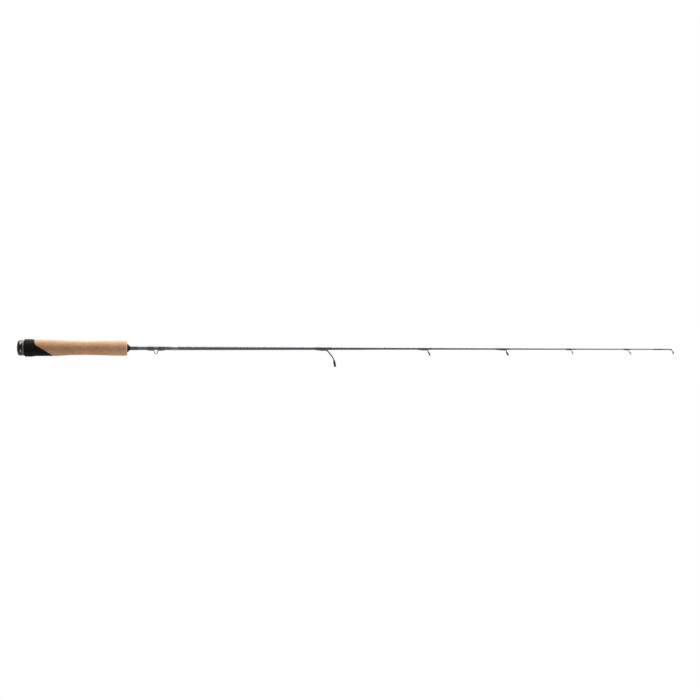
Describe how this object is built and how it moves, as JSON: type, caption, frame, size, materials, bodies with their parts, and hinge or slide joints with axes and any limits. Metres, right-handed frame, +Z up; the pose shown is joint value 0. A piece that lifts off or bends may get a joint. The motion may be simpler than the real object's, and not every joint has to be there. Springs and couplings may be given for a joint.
{
  "type": "ice fishing rod",
  "caption": "Short one-piece ice fishing rod with a turned cork handle, black butt grip, hook keeper, line guides and a tip ring; the blank flexes.",
  "frame": {"origin": "centre of the butt cap's end, on the blank's centre line", "axes": "+X along the blank to the tip, +Z up, the line guides on the -Z side"},
  "size_m": [0.9144, 0.0246, 0.0382],
  "materials": {
    "cap_black": "gloss",
    "bronze": "satin",
    "grip_black": "matte",
    "cork": "matte",
    "check_black": "gloss",
    "thread": "gloss",
    "silver": "gloss",
    "graphite": "gloss",
    "ring_black": "polished",
    "steel": "satin"
  },
  "bodies": {
    "handle": {"butt_cap": "cap_black", "butt_trim_ring": "bronze", "butt_grip": "grip_black", "cork_ring_01": "cork", "cork_ring_02": "cork", "cork_ring_03": "cork", "cork_ring_04": "cork", "cork_ring_05": "cork", "cork_ring_06": "cork", "cork_ring_07": "cork", "cork_ring_08": "cork", "cork_ring_09": "cork", "cork_ring_10": "cork", "winding_check": "check_black", "fore_wrap": "thread", "hook_keeper": "steel", "keeper_wrap_rear": "thread", "keeper_wrap_front": "thread", "trim_band": "silver", "blank_butt": "graphite"},
    "section_1": {"blank_section_1": "graphite", "guide_1_frame": "steel", "guide_1_ring": "ring_black", "guide_1_wrap": "thread", "guide_1_lock_wrap": "thread"},
    "section_2": {"blank_section_2": "graphite", "guide_2_frame": "steel", "guide_2_ring": "ring_black", "guide_2_wrap": "thread", "guide_2_lock_wrap": "thread"},
    "section_3": {"blank_section_3": "graphite", "guide_3_frame": "steel", "guide_3_ring": "ring_black", "guide_3_wrap": "thread", "guide_3_lock_wrap": "thread"},
    "section_4": {"blank_section_4": "graphite", "guide_4_frame": "steel", "guide_4_ring": "ring_black", "guide_4_wrap": "thread", "guide_4_lock_wrap": "thread"},
    "section_5": {"blank_section_5": "graphite", "guide_5_frame": "steel", "guide_5_ring": "ring_black", "guide_5_wrap": "thread", "guide_5_lock_wrap": "thread"},
    "section_6": {"blank_section_6": "graphite", "tip_top_frame": "steel", "tip_top_ring": "ring_black", "tip_top_wrap": "thread"}
  },
  "joints": [
    {"name": "flex_1", "type": "hinge", "parent": "handle", "child": "section_1", "pos_m": [0.32, 0, 0], "axis": [0, 1, 0], "range_deg": [-2, 5], "stiffness_Nm_per_rad": 6.5},
    {"name": "flex_2", "type": "hinge", "parent": "section_1", "child": "section_2", "pos_m": [0.498, 0, 0], "axis": [0, 1, 0], "range_deg": [-4, 10], "stiffness_Nm_per_rad": 2.3},
    {"name": "flex_3", "type": "hinge", "parent": "section_2", "child": "section_3", "pos_m": [0.622, 0, 0], "axis": [0, 1, 0], "range_deg": [-6, 15], "stiffness_Nm_per_rad": 1},
    {"name": "flex_4", "type": "hinge", "parent": "section_3", "child": "section_4", "pos_m": [0.7255, 0, 0], "axis": [0, 1, 0], "range_deg": [-6.8, 17], "stiffness_Nm_per_rad": 0.5},
    {"name": "flex_5", "type": "hinge", "parent": "section_4", "child": "section_5", "pos_m": [0.8115, 0, 0], "axis": [0, 1, 0], "range_deg": [-6, 15], "stiffness_Nm_per_rad": 0.25},
    {"name": "flex_6", "type": "hinge", "parent": "section_5", "child": "section_6", "pos_m": [0.8687, 0, 0], "axis": [0, 1, 0], "range_deg": [-2.8, 7], "stiffness_Nm_per_rad": 0.1}
  ],
  "couplings": [
    {"joint": "flex_2", "follows": "flex_1", "ratio": 2},
    {"joint": "flex_3", "follows": "flex_1", "ratio": 3},
    {"joint": "flex_4", "follows": "flex_1", "ratio": 3.4},
    {"joint": "flex_5", "follows": "flex_1", "ratio": 3},
    {"joint": "flex_6", "follows": "flex_1", "ratio": 1.4}
  ]
}
